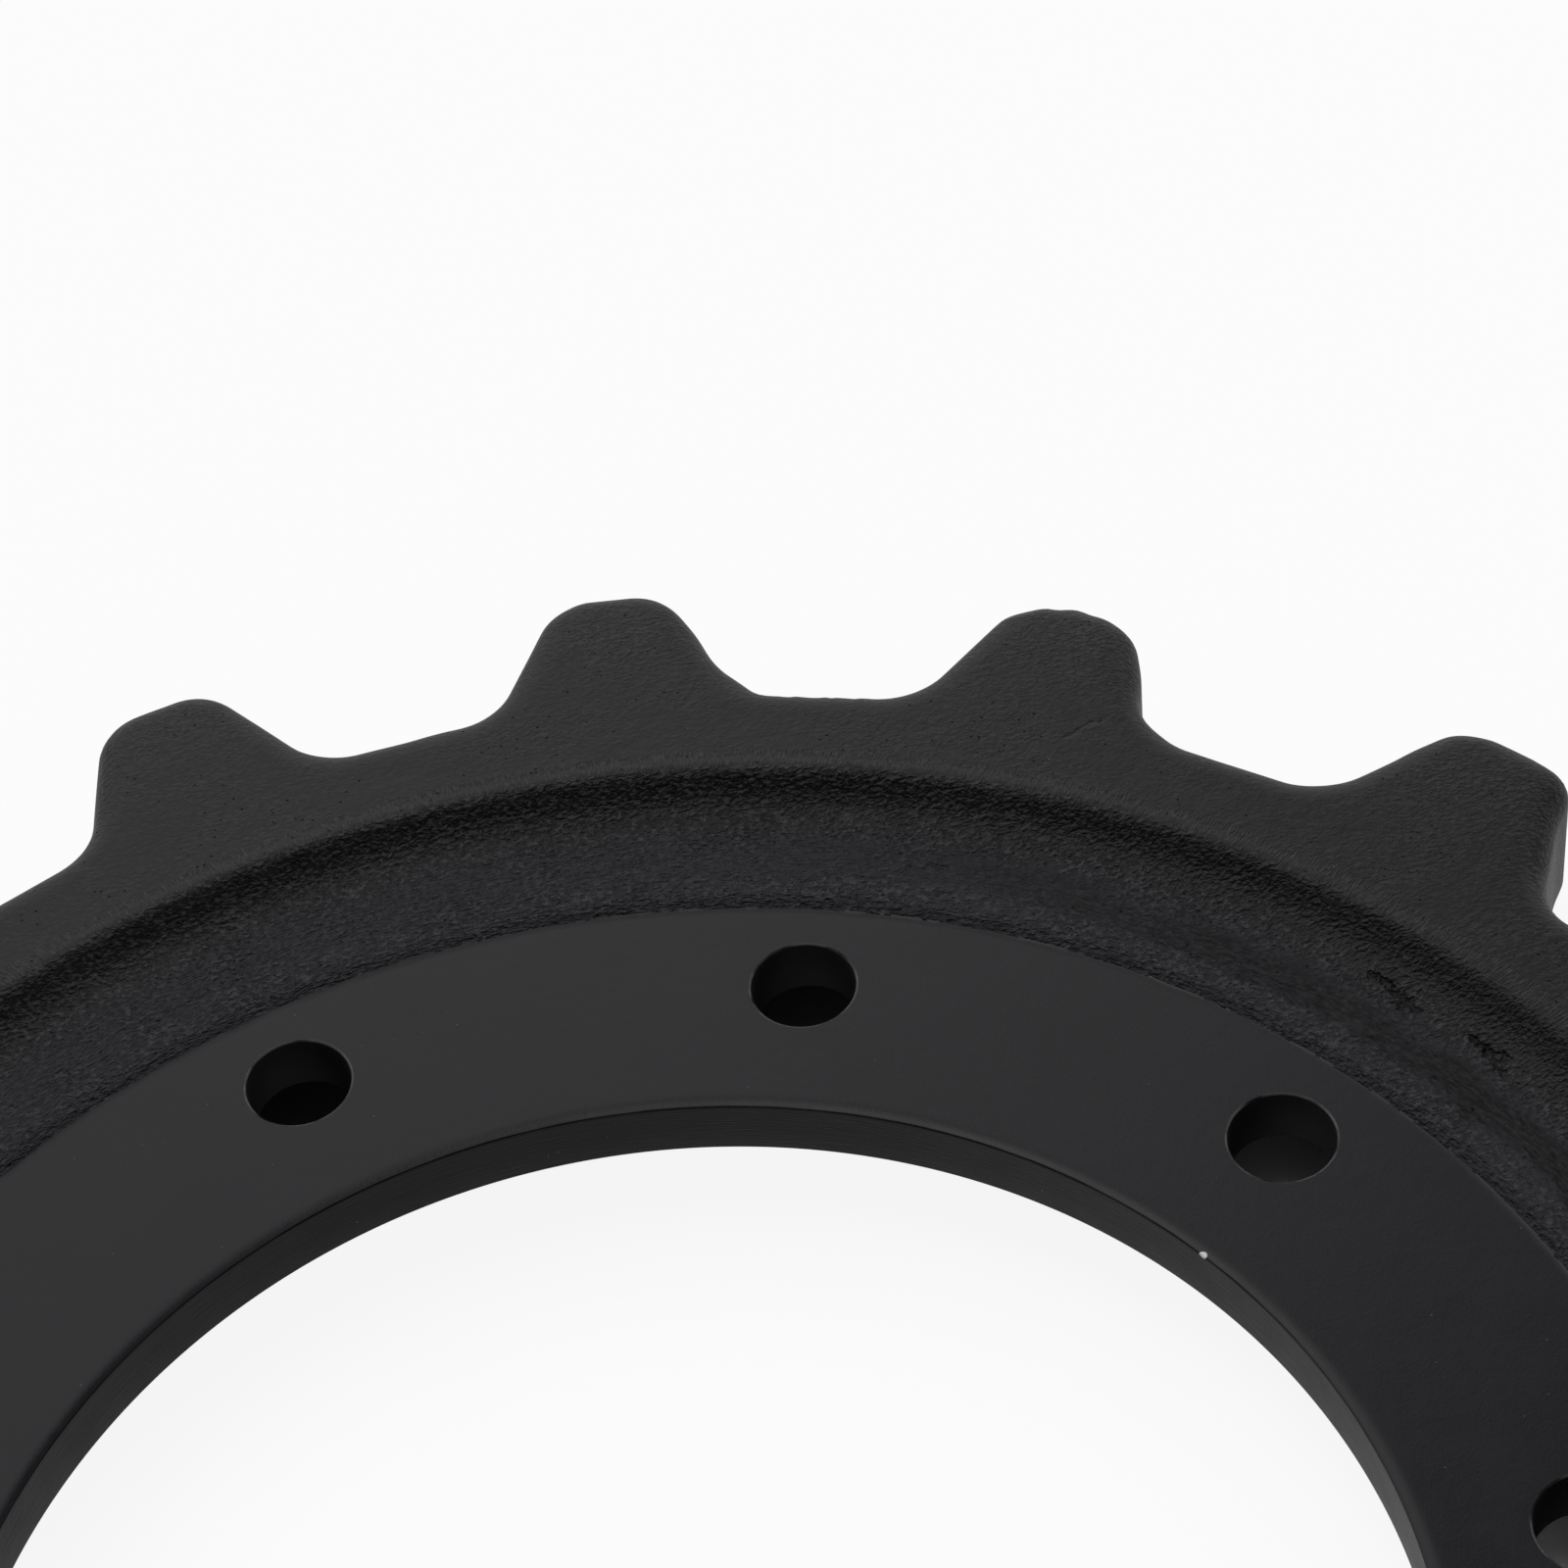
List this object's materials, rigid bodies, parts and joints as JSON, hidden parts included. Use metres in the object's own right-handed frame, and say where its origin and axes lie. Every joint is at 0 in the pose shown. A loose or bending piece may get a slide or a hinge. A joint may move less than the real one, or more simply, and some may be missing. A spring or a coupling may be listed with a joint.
{
  "type": "track sprocket",
  "caption": "Cast track drive sprocket with crowned teeth, a dished web and a machined bolting flange around a wide bore, painted satin black.",
  "frame": {"origin": "centre of the ring on the plane of the tooth rim that it rests on", "axes": "+Z along the sprocket's axis towards the dished side that the picture shows; +X through a bolt hole, with a tooth one degree below it"},
  "size_m": [0.464, 0.4652, 0.032],
  "materials": {
    "painted_casting": "satin black paint over a sand casting, machined bore and flange painted too"
  },
  "bodies": {
    "root": {"sprocket": "painted_casting"}
  },
  "joints": []
}
